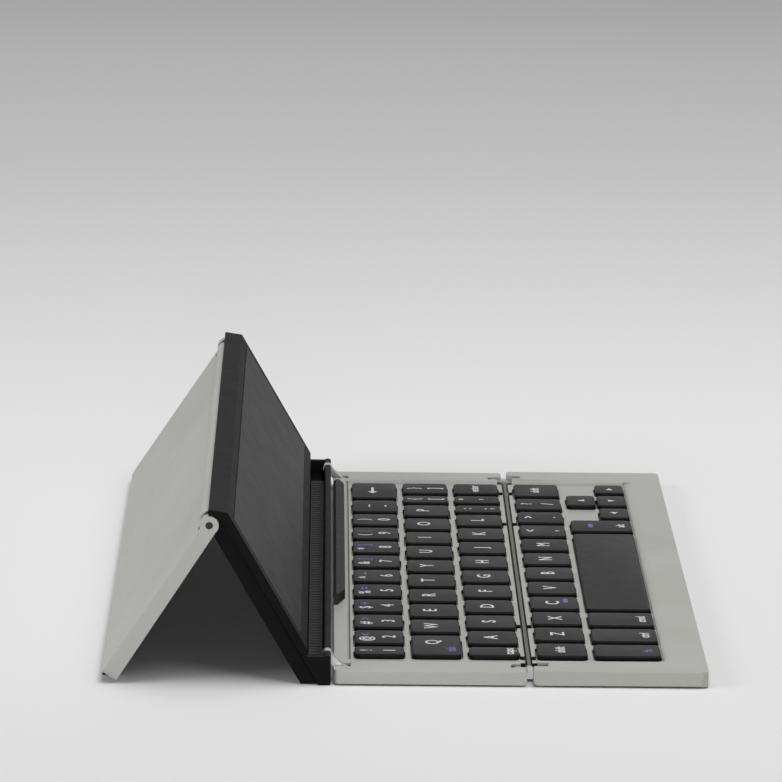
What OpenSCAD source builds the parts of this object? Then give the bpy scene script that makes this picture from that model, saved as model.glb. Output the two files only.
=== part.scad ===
// Folding keyboard with its own stand: two key decks on a double-pivot spine, and a
// tablet rest with a folding rear leg. +X runs along the long side towards the user's
// right hand, +Y towards the stand, +Z up. The origin lies on the desk, under the
// middle of the whole. The modules are drawn with y = 0 on the fold between the decks,
// and placed() moves them.

/* [Keys] */
// Width of a letter key's top, along the long side
key_w = 14.35; // [13:0.05:15.5]
// Gap between neighbouring keys in a row
key_gap = 3.6; // [2.6:0.1:4.4]
// Depth of a key's top, from front to back
key_d = 14.1; // [12:0.1:15]
// Strip of deck left between two rows of keys
row_gap = 2.15; // [1.8:0.05:3]
// Depth of the full-height keys in the bottom row
bottom_key_d = 18.8; // [17:0.1:21]
// Corner radius of a key
key_corner = 1.6; // [0.8:0.1:2.4]
// Thickness of a key cap
key_t = 1.5; // [1.3:0.05:1.6]
// Wall of a key cap round its hollow underside
key_wall = 1; // [0.8:0.1:1.4]
// Depth of the hollow under a key cap
key_hollow = 0.55; // [0.4:0.05:0.7]
// Chamfer round a key's top edge
key_edge = 0.25; // [0.1:0.05:0.4]
// Distance a key goes down when it is pressed
key_travel = 1.1; // [0.8:0.05:1.1]
// Clearance between a key and the hole that it moves in
key_clear = 0.35; // [0.25:0.05:0.5]
// Height of the key tops above the desk
key_top = 4.9; // [4.85:0.05:5.2]
// Sideways shift of all the keys from the middle of the deck
key_shift = -1.2; // [-1.6:0.1:1.6]

/* [Decks] */
// Height of the rear deck's rim above the desk
rear_top = 4.3; // [4.1:0.05:4.6]
// Height of the front deck's rim above the desk
front_top = 4.75; // [4.5:0.05:5]
// Height of the floor that the keys stand in
floor_top = 3.5; // [3.45:0.05:3.6]
// Thickness of that floor
floor_t = 1; // [0.9:0.05:1.1]
// Width of each end of a deck, beyond the keys
end_margin = 15.6; // [15:0.1:20]
// Room between the end keys and the rim at each end
well_room = 2.5; // [2:0.1:3]
// Strip of deck between the keys and the fold
fold_strip = 1.7; // [1.4:0.1:2.4]
// Rim behind the rear deck's last row of keys
rear_rim = 5.95; // [5.6:0.05:8]
// Wrist strip in front of the bottom row of keys
wrist_strip = 12.4; // [11.8:0.1:16]
// Width of the sloping edge of the key floor at the ends
well_slope = 1.8; // [1:0.1:2.2]
// Width of the sloping edge of the key floor at the wrist strip
wrist_slope = 2.8; // [1.5:0.1:3]
// Radius of the decks' outer corners, seen from above
deck_corner = 2.2; // [1:0.1:3]
// Side wall of a deck
deck_wall = 1.6; // [1.2:0.1:2]
// Thickness of the bottom covers
cover_t = 0.8; // [0.6:0.05:0.9]
// Height of the rubber feet
foot_h = 0.5; // [0.4:0.05:0.6]
// Diameter of a rubber foot
foot_d = 8; // [5:0.5:10]
// Thickness of the steel key plates
plate_t = 0.3; // [0.2:0.05:0.35]
// Thickness of the contact membranes
membrane_t = 0.15; // [0.1:0.01:0.2]
// Radius of the decks' lower edges beside the fold
fold_round = 1.6; // [0.8:0.1:1.8]

// Length of the battery in the wrist strip
battery_len = 98; // [70:1:150]

/* [Fold between the decks] */
// Distance between the two pivots of a link
link_span = 6.6; // [6.4:0.05:7]
// Height of the fold pivots above the desk
fold_z = 2.3; // [2.2:0.05:2.5]
// Gap from the middle of the fold to a deck's edge
fold_gap = 0.9; // [0.85:0.05:1.2]
// Width of the spine bar that lies in the fold
spine_w = 0.9; // [0.6:0.05:0.95]
// Thickness of a link plate
link_t = 3; // [2.4:0.1:3.2]
// Radius of a link's round ends
link_r = 1.6; // [1.4:0.05:1.75]
// Diameter of the link pins
link_pin_d = 1.2; // [1:0.05:1.3]
// Distance of the links from the ends of the decks
link_inset = 7.4; // [7:0.1:7.8]
// Clearance beside and round a link
link_clear = 0.3; // [0.25:0.01:0.4]
// Radial clearance of a pin in a bore that turns on it
pin_clear = 0.05; // [0.02:0.01:0.08]

/* [Tablet rest] */
// Lean of the rest above the desk, in degrees
rest_tilt = 60; // [58:0.5:62]
// Thickness of the rest
rest_t = 6.8; // [6.4:0.1:7.4]
// Length of the rest from its foot to the leg's axis
rest_len = 51.3; // [47:0.1:56]
// Depth of the leg's axis below the rest's rear face
rest_axis_in = 0.5; // [0.3:0.05:0.6]
// Gap between the rear deck and the front lip of the rest
lip_gap = 0.8; // [0.7:0.05:1.2]
// Thickness of the front lip
lip_t = 2.1; // [2:0.05:2.4]
// Height of the front lip above the desk
lip_top = 8.6; // [8.4:0.1:9]
// Width of the slot that takes the tablet's lower edge
slot_w = 4.5; // [4.3:0.1:5]
// Height of the slot's floor above the desk
slot_floor = 3.4; // [2.8:0.1:3.6]
// Wall at each end of the slot
slot_end = 2; // [1.4:0.1:2.5]
// Height of the rest's lower pivot above the desk
rest_pivot_z = 7.2; // [7.1:0.05:7.3]
// Height of the rear deck's link pivot above the desk
deck_pivot_z = 2.6; // [2.5:0.05:2.7]
// Skin of the rest round its hollow
rest_skin = 1.4; // [1.2:0.1:1.8]
// Thickness of the panel in the front of the rest
panel_t = 1.2; // [0.8:0.1:1.6]
/* [Rear leg] */
// Lean of the leg above the desk, in degrees
leg_tilt = 56.3; // [55:0.1:58]
// Thickness of the leg's sheet
leg_skin = 0.6; // [0.5:0.05:0.7]
// Thickness of the leg's sides, which wrap the ends of the rest
leg_side_t = 1; // [0.8:0.1:1.1]
// Gap between the closed leg and the rest
leg_clear = 0.3; // [0.25:0.05:0.4]
// Radius of the leg's rolled upper edge
roll_r = 2.65; // [2.5:0.05:2.8]
// Depth of the leg's sides at the foot, measured from the axis
side_deep = 3.4; // [3:0.05:3.5]
// Thickness of the dark liner inside the leg
liner_t = 0.4; // [0.3:0.05:0.5]
// Thickness of the steel knuckle inside each side of the leg
ear_w = 1.9; // [1.5:0.1:2.2]
// Radius of the lugs on the rest that the leg's pins turn in
lug_r = 3; // [2.8:0.1:3.1]
// Distance of the lug's centre from the pin, towards the user
lug_shift = 1.1; // [0.8:0.1:1.2]
// Width of a lug along the long side
lug_w = 3.7; // [3:0.1:4.2]
// Diameter of the leg's pins
leg_pin_d = 2.1; // [1.8:0.05:2.2]
// Corner radius at the foot of the leg
leg_corner = 2; // [1.5:0.5:3]
// Height of the leg's sides above the desk
leg_foot_h = 0.4; // [0.3:0.1:0.8]

/* [Stop bar] */
// Length of the bar in front of the slot that keeps a tablet from sliding
bar_len = 152; // [120:1:160]
// Sideways shift of the bar from the middle
bar_shift = 26; // [0:1:26]
// Width of the bar, front to back
bar_w = 3.4; // [3:0.1:3.6]
// Height of the bar above the rear deck
bar_h = 3; // [2.4:0.1:3.1]
// Chamfer on the bar's upper rear edge, which the lip of the rest passes
bar_bevel = 0.8; // [0.6:0.1:1.2]

/* [Hidden] */
$fn = 48;
eps = 0.01;

// Colours of the real finishes
casing = "#a9a9a3";
black = "#19191b";
dark = "#3a3a3b";
silver = "#c6c6c4";
keycap = "#464648";
rubber = "#2b2b2c";

// Key rows. Each list holds the widths of the cells before the last one, as shares of a
// letter key's pitch. The last cell takes what is left, so that all the rows end flush.
pitch = key_w + key_gap;
cell_step = 0.05;
function cell(share) = round(share * pitch / cell_step) * cell_step;
field_w = cell(12.078);
number_cells = [cell(0.696), for (i = [1:9]) pitch, cell(1.042)];
upper_cells = [cell(1.41), for (i = [1:9]) pitch, cell(0.719)];
home_cells = [cell(0.719), for (i = [1:9]) pitch, cell(0.702), cell(0.719)];
lower_cells = [cell(0.975), for (i = [1:10]) pitch];
bottom_cells = [for (i = [0.93, 1, 1.036, 5.421, 1, 0.914, 0.958]) cell(i)];

function sum(list, n) = n <= 0 ? 0 : list[n - 1] + sum(list, n - 1);
function whole(cells) = [each cells, field_w - sum(cells, len(cells))];
// A key is [x of its middle, y of its middle, width, depth]
function key(cells, i, y, d) = let (c = whole(cells))
    [key_shift - field_w / 2 + sum(c, i) + c[i] / 2, y, c[i] - key_gap, d];
function keys(cells, from, to, y, d) = [for (i = [from:to]) key(cells, i, y, d)];

// Depths along Y. The rear deck lies at y > 0, and the front deck at y < 0.
home_y = fold_gap + fold_strip + key_d / 2;
upper_y = home_y + key_d + row_gap;
number_y = upper_y + key_d + row_gap;
rear_edge = number_y + key_d / 2 + rear_rim;
lower_y = -home_y;
bottom_y = lower_y - key_d / 2 - row_gap - bottom_key_d / 2;
front_keys_end = bottom_y - bottom_key_d / 2;
front_edge = front_keys_end - wrist_strip;
arrow_gap = 0.7;
arrow_d = (bottom_key_d - arrow_gap) / 2;
arrow_y = (arrow_d + arrow_gap) / 2;

number_left = keys(number_cells, 0, 5, number_y, key_d);
number_right = keys(number_cells, 6, 10, number_y, key_d);
backspace = keys(number_cells, 11, 11, number_y, key_d);
upper_left = keys(upper_cells, 0, 4, upper_y, key_d);
upper_right = keys(upper_cells, 5, 11, upper_y, key_d);
caps = keys(home_cells, 0, 0, home_y, key_d);
home_left = keys(home_cells, 1, 5, home_y, key_d);
home_right = keys(home_cells, 6, 11, home_y, key_d);
enter = keys(home_cells, 12, 12, home_y, key_d);
left_shift = keys(lower_cells, 0, 0, lower_y, key_d);
lower_left = keys(lower_cells, 1, 5, lower_y, key_d);
lower_right = keys(lower_cells, 6, 10, lower_y, key_d);
right_shift = keys(lower_cells, 11, 11, lower_y, key_d);
fn_ctrl_cmd = keys(bottom_cells, 0, 2, bottom_y, bottom_key_d);
space = keys(bottom_cells, 3, 3, bottom_y, bottom_key_d);
alt = keys(bottom_cells, 4, 4, bottom_y, bottom_key_d);
left_arrow = keys(bottom_cells, 5, 5, bottom_y - arrow_y, arrow_d);
up_arrow = keys(bottom_cells, 6, 6, bottom_y + arrow_y, arrow_d);
down_arrow = keys(bottom_cells, 6, 6, bottom_y - arrow_y, arrow_d);
right_arrow = keys(bottom_cells, 7, 7, bottom_y - arrow_y, arrow_d);

rear_keys = concat(number_left, number_right, backspace, upper_left, upper_right,
    caps, home_left, home_right, enter);
front_keys = concat(left_shift, lower_left, lower_right, right_shift, fn_ctrl_cmd,
    space, alt, left_arrow, up_arrow, down_arrow, right_arrow);

// Heights of the layers in a deck
cover_top = foot_h + cover_t;
key_bottom = key_top - key_t;
membrane_top = key_bottom - key_travel - 0.15;
plate_top = membrane_top - membrane_t;
plate_bottom = plate_top - plate_t;
floor_bottom = floor_top - floor_t;
key_roof = key_bottom + key_hollow;

// Lengths along X
half_w = field_w / 2 + end_margin;
well_half = field_w / 2 + well_room;
room_half = well_half - 1;
link_x = half_w - link_inset;
slot_half = link_t / 2 + link_clear;
fit = 0.1;

// Pivots, as [y, z]
fold_y = link_span / 2;
rest_pivot = [rear_edge + lip_gap + lip_t / 2, rest_pivot_z];
link_rise = asin((rest_pivot_z - deck_pivot_z) / link_span);
deck_pivot = [rest_pivot[0] - link_span * cos(link_rise), deck_pivot_z];
pin_r = link_pin_d / 2;

// The rest leans back over its foot. rest_at(u, v) is the point u along the rear face
// and v out of it, towards the user.
lip_front = rear_edge + lip_gap;
slot_front = lip_front + lip_t;
slot_back = slot_front + slot_w;
rest_foot = [slot_back + 2.4, 1];
function turned(p, a) = [p[0] * cos(a) - p[1] * sin(a), p[0] * sin(a) + p[1] * cos(a)];
function rest_at(u, v) = rest_foot + turned([u, v], rest_tilt);
leg_axis = rest_at(rest_len, rest_axis_in);
// leg_at(a, n) is the point a down the leg and n out of it, away from the user.
function leg_at(a, n) = leg_axis + turned([a, n], -leg_tilt);
leg_end = (leg_axis[1] - leg_foot_h - side_deep * cos(leg_tilt)) / sin(leg_tilt);
leg_inner = rest_axis_in + leg_clear;
leg_outer = leg_inner + leg_skin;
// Along the long side, from the end inwards: the leg's side, the steel knuckle, the lug
ear_x = half_w - leg_side_t - fit;
lug_x = ear_x - ear_w - link_clear;
roll_x = lug_x - lug_w - link_clear;
slot_back_z = rest_foot[1] + rest_t / cos(rest_tilt)
    + (slot_back - rest_foot[0]) * tan(rest_tilt);

// A shape drawn in Y and Z, drawn out along X from x0 to x1
module along_x(x0, x1) {
    translate([x0, 0, 0]) rotate([90, 0, 90]) linear_extrude(x1 - x0) children();
}
// The children at both ends of the keyboard
module both_ends() {
    children();
    mirror([1, 0, 0]) children();
}
module block(x0, x1, y0, y1, z0, z1) {
    translate([x0, y0, z0]) cube([x1 - x0, y1 - y0, z1 - z0]);
}
module disc_yz(p, r) {
    translate(p) circle(r);
}
module rounded_rect(w, d, r) {
    square([w, d - 2 * r], center = true);
    square([w - 2 * r, d], center = true);
    for (x = [-1, 1], y = [-1, 1])
        translate([x * (w / 2 - r), y * (d / 2 - r)]) circle(r, $fn = 24);
}

module key_cap(k) {
    w = k[2];
    d = k[3];
    translate([k[0], k[1], 0]) difference() {
        union() {
            translate([0, 0, key_bottom]) linear_extrude(key_t - key_edge)
                rounded_rect(w, d, key_corner);
            translate([0, 0, key_top - key_edge - eps]) linear_extrude(key_edge + eps)
                rounded_rect(w - 2 * key_edge, d - 2 * key_edge, key_corner - key_edge);
        }
        translate([0, 0, key_bottom - 1]) linear_extrude(key_hollow + 1)
            square([w - 2 * key_wall, d - 2 * key_wall], center = true);
    }
}
module key_caps(list) {
    color(keycap) for (k = list) key_cap(k);
}
module key_holes(list) {
    for (k = list)
        translate([k[0], k[1], floor_bottom - 1]) linear_extrude(floor_t + 2)
            rounded_rect(k[2] + 2 * key_clear, k[3] + 2 * key_clear, key_corner + key_clear);
}

// Scissor hinge under a key: a small frame inside a big one, joined by two pins. It is
// drawn folded flat, as it lies when the key is pressed.
scissor_bar = 0.8;
scissor_t = 0.4;
scissor_d = 6.2;
scissor_w = 8.6;
scissor_small = 6.2;
pressed_room = key_roof - key_travel - membrane_top;
module ring(w, d, bar) {
    difference() {
        square([w, d], center = true);
        square([w - 2 * bar, d - 2 * bar], center = true);
    }
}
module scissor(k) {
    fits = min(1, (k[2] - 2 * key_wall - 0.6) / scissor_w);
    translate([k[0], k[1], membrane_top]) linear_extrude(scissor_t) {
        ring(scissor_w * fits, scissor_d, scissor_bar);
        ring(scissor_small * fits, scissor_d - 2 * scissor_bar - 0.3, scissor_bar);
        for (x = [-1, 1]) translate([x * ((scissor_w + scissor_small) * fits / 4 - 0.1), 0])
            square([0.2 + (scissor_w - scissor_small) * fits / 2, 0.6], center = true);
    }
}
module scissors(list) {
    color("#d8d8d4") for (k = list) scissor(k);
}
dome_d = 2.5;
module domes(list) {
    color("#dcdcd2") for (k = list) translate([k[0], k[1], membrane_top])
        difference() {
            cylinder(d = dome_d, h = pressed_room - 0.1, $fn = 24);
            translate([0, 0, -eps]) cylinder(d = dome_d - 1, h = 0.3, $fn = 24);
        }
}

// Outline of a deck, seen from its end. Both edges beside the fold are rounded so that
// they pass the spine while the decks fold. s is 1 for the rear deck, -1 for the front.
top_round = 0.75;
module deck_side(s, edge, top) {
    inner = s * fold_gap;
    low = foot_h;
    hull() {
        translate([inner + s * fold_round, low + fold_round]) circle(fold_round, $fn = 32);
        translate([inner + s * top_round, top - top_round]) circle(top_round, $fn = 32);
        translate([min(edge, edge - s * 1), low]) square([1, 0.5]);
        translate([min(edge, edge - s * 1), top - 0.5]) square([1, 0.5]);
    }
}
module deck_plan(s, edge) {
    r = deck_corner;
    inner = s * fold_gap;
    lo = min(inner, edge - s * r);
    translate([-half_w, lo]) square([2 * half_w, abs(edge - s * r - inner)]);
    lo_edge = min(edge, edge - s * 2 * r);
    translate([-half_w + r, lo_edge]) square([2 * (half_w - r), 2 * r]);
    for (x = [-1, 1]) translate([x * (half_w - r), edge - s * r]) circle(r);
}
// Recess that the keys stand in, with sloping edges at both ends and at one side
module well(y_fold, y_side, slope, top) {
    rise = top - floor_top;
    lo = min(y_fold, y_side);
    hi = max(y_fold, y_side);
    s = y_side > y_fold ? 1 : -1;
    block(-well_half, well_half, lo, hi, floor_top, top + 1);
    // sloping side
    along_x(-well_half, well_half)
        polygon([[y_side - s * eps, floor_top], [y_side + s * slope * (1 + 1 / rise), top + 1],
                 [y_side - s * eps, top + 1]]);
    both_ends() translate([0, s > 0 ? hi : lo, 0]) rotate([90, 0, 0])
        mirror([0, 0, s > 0 ? 0 : 1]) linear_extrude(hi - lo)
            polygon([[well_half - eps, floor_top],
                     [well_half + well_slope * (1 + 1 / rise), top + 1],
                     [well_half - eps, top + 1]]);
}
// Cuts for a link plate at both ends: y0 to y1, open above and below
module link_slots(y0, y1, z0 = 0) {
    both_ends() block(link_x - slot_half, link_x + slot_half, y0, y1, z0, 12);
}
pin_out = 2.6;
module pin_bores(p, r) {
    both_ends() along_x(link_x, link_x + link_t / 2 + pin_out + 0.2) disc_yz(p, r);
}
// Rim cut back beside the spine, so that it passes while the decks fold
rim_relief = 1.5;
module rim_cuts(s) {
    both_ends() block(well_half - 0.2, link_x, s > 0 ? -1 : -fold_gap - rim_relief,
        s > 0 ? fold_gap + rim_relief : 1, 0, 12);
}
notch_w = 4.2;
notch_x = [-105.5, -70, 56.5, 98];
strip_notch = fold_strip - key_clear;
// Relief notches across the strip beside the fold
module fold_notches(s) {
    y = s > 0 ? fold_gap - 1 : -fold_gap - strip_notch;
    for (x = notch_x) block(x - notch_w / 2, x + notch_w / 2, y, y + strip_notch + 1,
        floor_bottom - 0.4, floor_top + 2);
}
// Room under the key floor, and the recess for the bottom cover
module deck_room(y0, y1) {
    block(-room_half, room_half, y0, y1, cover_top - eps, floor_bottom);
}
cover_ledge = 1.2;
cover_near = fold_gap + fold_round + 0.1;
rear_room = [fold_gap + 1, number_y + key_d / 2 + 1.3];
front_room = [front_keys_end - 1, -fold_gap - 1];
wrist_y = [front_edge + deck_wall, front_keys_end - wrist_slope - 1.1];
wrist_top = front_top - 1;
boss_half = 2.2;
battery_gap = 0.4;
end_boss = room_half - 3.4;
battery_x = -end_boss + boss_half + 1;
boss_x = [-end_boss, battery_x + battery_len + 1 + boss_half, end_boss];
screw_r = 0.7;
screw_head_r = 1.5;
screw_head_t = 0.5;
screw_len = 2.4;
rear_screw_y = rear_edge - deck_wall - 1.3;
rear_screw_x = [-95, -35, 35, 95];
front_screw_y = (wrist_y[0] + wrist_y[1]) / 2;
module screws(xs, y) {
    color(silver) for (x = xs) translate([x, y, foot_h]) difference() {
        union() {
            cylinder(r = screw_head_r, h = screw_head_t, $fn = 24);
            cylinder(r = screw_r, h = screw_len, $fn = 16);
        }
        translate([0, 0, -eps]) cylinder(r = 0.6, h = 0.3, $fn = 6);
    }
}
module screw_holes(xs, y) {
    for (x = xs) translate([x, y, 0]) {
        cylinder(r = screw_head_r + fit, h = foot_h + screw_head_t + fit, $fn = 24);
        cylinder(r = screw_r + 0.02, h = foot_h + screw_len + 0.2, $fn = 16);
    }
}

module rear_deck() {
    color(casing) difference() {
        intersection() {
            along_x(-half_w, half_w) deck_side(1, rear_edge, rear_top);
            linear_extrude(8) deck_plan(1, rear_edge);
        }
        well(0, number_y + key_d / 2 + 1.2, 1.1, rear_top);
        key_holes(rear_keys);
        deck_room(rear_room[0], rear_room[1]);
        block(-room_half - cover_ledge, room_half + cover_ledge, cover_near,
            rear_screw_y + 2.4, 0, cover_top);
        fold_notches(1);
        link_slots(0, fold_y + link_r + link_clear);
        rim_cuts(1);
        link_slots(deck_pivot[0] - link_r - link_clear, rear_edge + 1);
        pin_bores([fold_y, fold_z], pin_r + pin_clear);
        pin_bores(deck_pivot, pin_r + pin_clear);
        screw_holes(rear_screw_x, rear_screw_y);
    }
}
module cover_ribs(list_y, d) {
    for (y = list_y) block(-room_half + 2, room_half - 2, y - d / 2, y + d / 2,
        cover_top - eps, plate_bottom);
}
rib_w = 1.2;
module rear_cover() {
    x = room_half + cover_ledge - fit;
    color(dark) difference() {
        union() {
            block(-x, x, cover_near + fit, rear_screw_y + 2.4 - fit, foot_h, cover_top);
            cover_ribs([home_y - key_d / 2 + 1, home_y + key_d / 2 + row_gap / 2,
                upper_y + key_d / 2 + row_gap / 2, number_y + key_d / 2 - 1], rib_w);
        }
        screw_holes(rear_screw_x, rear_screw_y);
    }
}
module key_plate(y0, y1, list) {
    color(silver) difference() {
        block(-room_half + fit, room_half - fit, y0 + fit, y1 - fit, plate_bottom, plate_top);
        for (k = list) translate([k[0] + k[2] / 2, k[1] + k[3] / 2, 0])
            cylinder(r = 0.8, h = 6, $fn = 12);
    }
}
module rear_key_plate() {
    key_plate(rear_room[0], rear_room[1], rear_keys);
}
module front_key_plate() {
    key_plate(front_room[0], front_room[1], front_keys);
}
module membrane(y0, y1) {
    color("#b9c0a8") block(-room_half + 0.4, room_half - 0.4, y0 + 0.4, y1 - 0.4,
        plate_top, membrane_top);
}
module feet(points) {
    color(rubber) for (p = points) translate([p[0], p[1], 0])
        cylinder(d = foot_d, h = foot_h, $fn = 32);
}
foot_x = room_half - 8;
module rear_feet() {
    feet([for (x = [-foot_x, foot_x], y = [home_y, number_y]) [x, y]]);
}
module front_feet() {
    feet([for (x = [-foot_x, foot_x], y = [lower_y, bottom_y]) [x, y]]);
}
// Bar in front of the slot, with sloping and tapered ends
lens_x = [-14, 20];
lens_r = 0.55;
bar_y = rear_edge - bar_w;
bar_taper = 8;
module stop_bar() {
    x0 = bar_shift - bar_len / 2;
    color(dark) difference() {
        intersection() {
            translate([0, 0, rear_top]) linear_extrude(bar_h)
                polygon([[x0, rear_edge], [x0, rear_edge - 1.2], [x0 + bar_taper, bar_y],
                    [x0 + bar_len - bar_taper, bar_y], [x0 + bar_len, rear_edge - 1.2],
                    [x0 + bar_len, rear_edge]]);
            translate([0, rear_edge + 1, rear_top]) rotate([90, 0, 0]) linear_extrude(bar_w + 2)
                polygon([[x0, 0], [x0 + bar_len, 0], [x0 + bar_len - 2, bar_h],
                    [x0 + 2, bar_h]]);
            along_x(x0 - 1, x0 + bar_len + 1) translate([bar_y, rear_top])
                polygon([[0, 0], [bar_w, 0], [bar_w, bar_h - bar_bevel],
                    [bar_w - bar_bevel, bar_h], [0.3, bar_h], [0, bar_h - 0.3]]);
        }
        for (x = lens_x) translate([bar_shift + x, bar_y + bar_w / 2, rear_top + bar_h - 1])
            cylinder(r = lens_r + 0.02, h = 2, $fn = 24);
    }
}
module status_lenses() {
    color("#101012") for (x = lens_x)
        translate([bar_shift + x, bar_y + bar_w / 2, rear_top + bar_h - 1])
            cylinder(r = lens_r, h = 0.95, $fn = 24);
}
// Link with two round ends, at any two pivots
module link_plate(a, b, r) {
    difference() {
        union() {
            disc_yz(a, r);
            disc_yz(b, r);
            d = b - a;
            translate(a) rotate(atan2(d[1], d[0]))
                translate([0, -r * 0.72]) square([norm(d), 1.44 * r]);
        }
        disc_yz(a, pin_r + 0.02);
        disc_yz(b, pin_r + 0.02);
    }
}
hub_w = 1.5;
spine_low = fold_z - 1;
spine_high = floor_top - 0.1;
module spine_bar() {
    x = link_x - link_t / 2;
    color("#4a4b45") along_x(-x, x)
        translate([-spine_w / 2, spine_low]) square([spine_w, spine_high - spine_low]);
}
module spine_links() {
    color(silver) both_ends() along_x(link_x - link_t / 2, link_x + link_t / 2) {
        link_plate([-fold_y, fold_z], [fold_y, fold_z], link_r);
        translate([-hub_w / 2, fold_z - 1.4]) square([hub_w, 3]);
    }
}
module pins(points) {
    both_ends() for (p = points)
        along_x(link_x - link_t / 2, link_x + link_t / 2 + pin_out) disc_yz(p, pin_r);
}
module spine_pins() {
    color(black) pins([[-fold_y, fold_z], [fold_y, fold_z]]);
}

port_size = [5.4, 5.6, 1.9];
port_y = front_screw_y;
port_z = cover_top + 0.5;
board_t = 0.5;
module front_deck() {
    color(casing) difference() {
        intersection() {
            along_x(-half_w, half_w) deck_side(-1, front_edge, front_top);
            linear_extrude(8) deck_plan(-1, front_edge);
        }
        well(0, front_keys_end - 0.6, wrist_slope - 0.4, front_top);
        key_holes(front_keys);
        deck_room(front_room[0], front_room[1]);
        difference() {
            block(-half_w + 12, half_w - deck_wall, wrist_y[0], wrist_y[1], cover_top - eps,
                wrist_top);
            for (x = boss_x) block(x - boss_half, x + boss_half, wrist_y[0] - 1,
                wrist_y[1] - 1.2, 0, 5);
        }
        block(-room_half - cover_ledge, room_half + cover_ledge, wrist_y[0] - 0.6,
            -cover_near, 0, cover_top);
        block(-20, 20, front_room[0] - 6, front_room[0] + 1, cover_top - 1, floor_bottom);
        block(half_w - deck_wall - 1, half_w + 1, port_y - port_size[1] / 2 - fit,
            port_y + port_size[1] / 2 + fit, port_z - fit, port_z + port_size[2] + fit);
        fold_notches(-1);
        link_slots(-fold_y - link_r - link_clear, 0);
        rim_cuts(-1);
        pin_bores([-fold_y, fold_z], pin_r + pin_clear);
        screw_holes(boss_x, front_screw_y);
    }
}
module front_cover() {
    x = room_half + cover_ledge - fit;
    color(dark) difference() {
        union() {
            block(-x, x, wrist_y[0] - 0.6 + fit, -cover_near - fit, foot_h, cover_top);
            cover_ribs([lower_y + key_d / 2 - 1, lower_y - key_d / 2 - row_gap / 2,
                front_keys_end + 1], rib_w);
        }
        screw_holes(boss_x, front_screw_y);
    }
}
module battery() {
    color("#8f9496") block(battery_x, battery_x + battery_len, wrist_y[0] + battery_gap,
        wrist_y[1] - 1.2 - battery_gap, cover_top, wrist_top - 0.2);
}
board_x = [boss_x[1] + boss_half + 1, half_w - deck_wall - 0.4];
chip_step = (boss_x[2] - boss_half - board_x[0]) / 3;
chip_w = chip_step / 4;
module main_board() {
    y0 = wrist_y[0] + 0.3;
    y1 = wrist_y[1] - 0.3;
    color("#1f5b38") difference() {
        union() {
            block(board_x[0], board_x[1], y0, y1, cover_top, cover_top + board_t);
            for (i = [0:2]) translate([board_x[0] + (i + 0.5) * chip_step, 0, cover_top + board_t - eps])
                block(0, chip_w, y0 + 1, y1 - 1.8, 0, 0.9);
        }
        block(boss_x[2] - boss_half - 0.3, boss_x[2] + boss_half + 0.3, y0 - 1, y1 - 0.8, 0, 5);
    }
}
module charge_port() {
    x1 = half_w - 0.3;
    color(silver) difference() {
        block(x1 - port_size[0], x1, port_y - port_size[1] / 2, port_y + port_size[1] / 2,
            port_z, port_z + port_size[2]);
        block(x1 - port_size[0] + 0.6, x1 + 1, port_y - port_size[1] / 2 + 0.3,
            port_y + port_size[1] / 2 - 0.3, port_z + 0.3, port_z + port_size[2] - 0.3);
    }
}

module rest_links() {
    color(silver) both_ends() along_x(link_x - link_t / 2, link_x + link_t / 2)
        link_plate(deck_pivot, rest_pivot, link_r - 0.15);
}
module rest_link_pins() {
    color(black) pins([deck_pivot, rest_pivot]);
}

// The rest, seen from its end
module rest_side() {
    polygon([
        [lip_front + 0.4, 0], [rest_foot[0] - 0.6, 0], rest_at(0, 0),
        rest_at(rest_len, 0), rest_at(rest_len + 4.1, 2.5), rest_at(rest_len + 0.7, rest_t),
        [slot_back, slot_back_z], [slot_back, slot_floor], [slot_front, slot_floor],
        [slot_front, lip_top - 0.4], [slot_front - 0.4, lip_top],
        [lip_front + 0.4, lip_top], [lip_front, lip_top - 0.4], [lip_front, 0.4]]);
}
panel_u = [rest_t * 1.6, rest_len - 2.6];
panel_x = half_w - 5;
pocket_half = half_w - 9;
rib_x = [-pocket_half / 2, 0, pocket_half / 2];
rib_half = 1.5;
module rest_pocket() {
    along_x(-panel_x, panel_x) polygon([rest_at(panel_u[0], rest_t - panel_t),
        rest_at(panel_u[1], rest_t - panel_t), rest_at(panel_u[1], rest_t + 1),
        rest_at(panel_u[0], rest_t + 1)]);
    difference() {
        along_x(-pocket_half, pocket_half) polygon([rest_at(panel_u[0] + 3, rest_skin),
            rest_at(panel_u[1] - 5, rest_skin), rest_at(panel_u[1] - 5, rest_t),
            rest_at(panel_u[0] + 3, rest_t)]);
        for (x = rib_x) block(x - rib_half, x + rib_half, 0, 2 * half_w, 0, 2 * rest_len);
    }
}
slot_fill = 0.3;
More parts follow.
